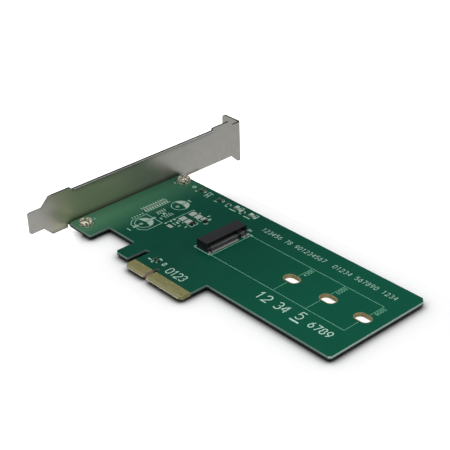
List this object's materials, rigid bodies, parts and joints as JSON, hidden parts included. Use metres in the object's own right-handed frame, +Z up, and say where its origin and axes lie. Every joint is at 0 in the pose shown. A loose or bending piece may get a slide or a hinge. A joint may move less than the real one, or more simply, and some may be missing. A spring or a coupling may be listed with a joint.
{
  "type": "nvme_adapter_card",
  "caption": "Green adapter card with a rear slot bracket, a black edge socket for a small solid-state drive module, plated standoff slots and a gold card-edge tongue.",
  "frame": {"origin": "On the component face of the board, at the tip of the card-edge tongue, on the centre line of its key notch.", "axes": "+X along the board away from the bracket, +Y in the board's plane from the tongue to the upper edge, +Z up out of the component face."},
  "size_m": [0.1579, 0.1201, 0.0224],
  "materials": {
    "mask_green": "satin",
    "bracket_steel": "satin",
    "screw_steel": "gloss",
    "tinned_copper": "satin",
    "gold_plate": "satin",
    "socket_plastic": "matte",
    "contact_metal": "satin",
    "chip_tan": "satin",
    "chip_dark": "matte",
    "led_white": "satin"
  },
  "bodies": {
    "root": {"bare_pads": "tinned_copper", "board": "mask_green", "bracket": "bracket_steel", "bracket_screws": "screw_steel", "chip_1": "chip_tan", "chip_10": "chip_tan", "chip_11": "chip_tan", "chip_12": "chip_tan", "chip_13": "chip_tan", "chip_14": "chip_tan", "chip_2": "chip_tan", "chip_3": "chip_tan", "chip_4": "chip_tan", "chip_5": "chip_tan", "chip_6": "chip_tan", "chip_7": "chip_tan", "chip_8": "chip_tan", "chip_9": "chip_tan", "diode": "chip_dark", "edge_fingers_component_side": "gold_plate", "edge_fingers_solder_side": "gold_plate", "lead_hole_plating": "tinned_copper", "led_1": "led_white", "led_2": "led_white", "led_resistor_1": "chip_dark", "led_resistor_2": "chip_dark", "part_pads": "tinned_copper", "screw_hole_plating": "tinned_copper", "socket_body": "socket_plastic", "socket_contacts_lower": "contact_metal", "socket_contacts_upper": "contact_metal", "socket_pads": "tinned_copper", "socket_solder_nails": "contact_metal", "standoff_slot_plating_42": "tinned_copper", "standoff_slot_plating_60": "tinned_copper", "standoff_slot_plating_80": "tinned_copper", "transistor": "chip_dark"}
  },
  "joints": []
}
